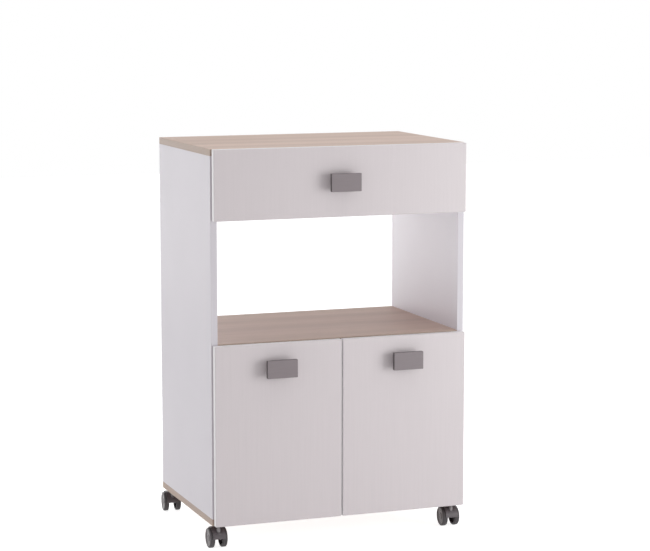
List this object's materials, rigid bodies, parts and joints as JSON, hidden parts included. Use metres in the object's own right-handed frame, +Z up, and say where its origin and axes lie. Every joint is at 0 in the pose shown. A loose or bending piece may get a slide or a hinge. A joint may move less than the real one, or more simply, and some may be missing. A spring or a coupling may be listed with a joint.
{
  "type": "kitchen cabinet",
  "caption": "Wheeled kitchen cabinet with a drawer over an open niche and a cupboard with hinged doors, white with wood-look worktop and shelf, on twin-wheel swivel casters.",
  "frame": {"origin": "on the floor, under the middle of the cabinet's width and depth", "axes": "+X to the right seen from the front, +Y to the back, +Z up"},
  "size_m": [0.605, 0.4594, 0.889],
  "materials": {
    "white_laminate": "white melamine on chipboard",
    "white_front": "satin white film with softened edges",
    "oak_laminate": "light oak laminate, matt",
    "hardboard": "white painted hardboard",
    "grey_handle": "satin grey lacquer",
    "runner_steel": "white epoxy coat",
    "white_nylon": "natural nylon",
    "dowel_beech": "bare beech",
    "zinc_steel": "zinc plated",
    "caster_hood": "dark grey moulded plastic",
    "caster_wheel": "dark grey moulded plastic"
  },
  "bodies": {
    "carcass": {"bottom_panel": "oak_laminate", "cam_bolts": "zinc_steel", "cam_locks": "zinc_steel", "carcass_screws": "zinc_steel", "caster_sockets": "white_nylon", "caster_stems": "zinc_steel", "drawer_shelf": "white_laminate", "hinge_arms": "zinc_steel", "hinge_plates": "zinc_steel", "inner_shelf": "white_laminate", "left_cabinet_runner": "runner_steel", "left_side_panel": "white_laminate", "lower_back_panel": "hardboard", "niche_shelf": "oak_laminate", "right_cabinet_runner": "runner_steel", "right_side_panel": "white_laminate", "shelf_pins": "zinc_steel", "top_panel": "oak_laminate", "upper_back_panel": "hardboard", "wood_dowels": "dowel_beech"},
    "drawer": {"drawer_back": "white_laminate", "drawer_bottom": "hardboard", "drawer_fittings": "zinc_steel", "drawer_front": "white_front", "drawer_handle": "grey_handle", "drawer_left_side": "white_laminate", "drawer_right_side": "white_laminate", "drawer_screws": "zinc_steel", "left_drawer_runner": "runner_steel", "right_drawer_runner": "runner_steel"},
    "left_door": {"left_door": "white_front", "left_door_handle": "grey_handle", "left_hinge_cups": "zinc_steel", "left_hinge_pins": "zinc_steel", "left_door_screws": "zinc_steel"},
    "left_front_roller": {"left_front_roller": "white_nylon"},
    "left_rear_roller": {"left_rear_roller": "white_nylon"},
    "right_door": {"right_door": "white_front", "right_door_handle": "grey_handle", "right_hinge_cups": "zinc_steel", "right_hinge_pins": "zinc_steel", "right_door_screws": "zinc_steel"},
    "right_front_roller": {"right_front_roller": "white_nylon"},
    "right_rear_roller": {"right_rear_roller": "white_nylon"},
    "front_left_caster": {"front_left_hood": "caster_hood", "front_left_axle": "zinc_steel"},
    "front_left_left_wheel": {"front_left_left_wheel": "caster_wheel"},
    "front_left_right_wheel": {"front_left_right_wheel": "caster_wheel"},
    "front_right_caster": {"front_right_hood": "caster_hood", "front_right_axle": "zinc_steel"},
    "front_right_left_wheel": {"front_right_left_wheel": "caster_wheel"},
    "front_right_right_wheel": {"front_right_right_wheel": "caster_wheel"},
    "rear_left_caster": {"rear_left_hood": "caster_hood", "rear_left_axle": "zinc_steel"},
    "rear_left_left_wheel": {"rear_left_left_wheel": "caster_wheel"},
    "rear_left_right_wheel": {"rear_left_right_wheel": "caster_wheel"},
    "rear_right_caster": {"rear_right_hood": "caster_hood", "rear_right_axle": "zinc_steel"},
    "rear_right_left_wheel": {"rear_right_left_wheel": "caster_wheel"},
    "rear_right_right_wheel": {"rear_right_right_wheel": "caster_wheel"}
  },
  "joints": [
    {"name": "drawer_slide", "type": "slide", "parent": "carcass", "child": "drawer", "axis": [0, -1, 0], "range_m": [0, 0.255]},
    {"name": "left_door_hinge", "type": "hinge", "parent": "carcass", "child": "left_door", "pos_m": [-0.29025, -0.1987, 0.25875], "axis": [0, 0, -1], "range_deg": [0, 95]},
    {"name": "right_door_hinge", "type": "hinge", "parent": "carcass", "child": "right_door", "pos_m": [0.29025, -0.1987, 0.25875], "axis": [0, 0, 1], "range_deg": [0, 95]},
    {"name": "left_front_roller_spin", "type": "hinge", "parent": "carcass", "child": "left_front_roller", "pos_m": [-0.2797, -0.171, 0.7735], "axis": [1, 0, 0], "continuous": true},
    {"name": "left_rear_roller_spin", "type": "hinge", "parent": "drawer", "child": "left_rear_roller", "pos_m": [-0.2778, 0.1435, 0.7735], "axis": [1, 0, 0], "continuous": true},
    {"name": "right_front_roller_spin", "type": "hinge", "parent": "carcass", "child": "right_front_roller", "pos_m": [0.2797, -0.171, 0.7735], "axis": [1, 0, 0], "continuous": true},
    {"name": "right_rear_roller_spin", "type": "hinge", "parent": "drawer", "child": "right_rear_roller", "pos_m": [0.2778, 0.1435, 0.7735], "axis": [1, 0, 0], "continuous": true},
    {"name": "front_left_swivel", "type": "hinge", "parent": "carcass", "child": "front_left_caster", "pos_m": [-0.2808, -0.17, 0.057], "axis": [0, 0, 1], "continuous": true},
    {"name": "front_left_left_wheel_spin", "type": "hinge", "parent": "front_left_caster", "child": "front_left_left_wheel", "pos_m": [-0.28052, -0.154, 0.0225], "axis": [0.9998, -0.0175, 0], "continuous": true},
    {"name": "front_left_right_wheel_spin", "type": "hinge", "parent": "front_left_caster", "child": "front_left_right_wheel", "pos_m": [-0.28052, -0.154, 0.0225], "axis": [0.9998, -0.0175, 0], "continuous": true},
    {"name": "front_right_swivel", "type": "hinge", "parent": "carcass", "child": "front_right_caster", "pos_m": [0.2808, -0.17, 0.057], "axis": [0, 0, 1], "continuous": true},
    {"name": "front_right_left_wheel_spin", "type": "hinge", "parent": "front_right_caster", "child": "front_right_left_wheel", "pos_m": [0.28108, -0.154, 0.0225], "axis": [0.9998, -0.0175, 0], "continuous": true},
    {"name": "front_right_right_wheel_spin", "type": "hinge", "parent": "front_right_caster", "child": "front_right_right_wheel", "pos_m": [0.28108, -0.154, 0.0225], "axis": [0.9998, -0.0175, 0], "continuous": true},
    {"name": "rear_left_swivel", "type": "hinge", "parent": "carcass", "child": "rear_left_caster", "pos_m": [-0.2808, 0.19, 0.057], "axis": [0, 0, 1], "continuous": true},
    {"name": "rear_left_left_wheel_spin", "type": "hinge", "parent": "rear_left_caster", "child": "rear_left_left_wheel", "pos_m": [-0.27941, 0.20594, 0.0225], "axis": [0.9962, -0.0872, 0], "continuous": true},
    {"name": "rear_left_right_wheel_spin", "type": "hinge", "parent": "rear_left_caster", "child": "rear_left_right_wheel", "pos_m": [-0.27941, 0.20594, 0.0225], "axis": [0.9962, -0.0872, 0], "continuous": true},
    {"name": "rear_right_swivel", "type": "hinge", "parent": "carcass", "child": "rear_right_caster", "pos_m": [0.2808, 0.19, 0.057], "axis": [0, 0, 1], "continuous": true},
    {"name": "rear_right_left_wheel_spin", "type": "hinge", "parent": "rear_right_caster", "child": "rear_right_left_wheel", "pos_m": [0.28219, 0.20594, 0.0225], "axis": [0.9962, -0.0872, 0], "continuous": true},
    {"name": "rear_right_right_wheel_spin", "type": "hinge", "parent": "rear_right_caster", "child": "rear_right_right_wheel", "pos_m": [0.28219, 0.20594, 0.0225], "axis": [0.9962, -0.0872, 0], "continuous": true}
  ]
}
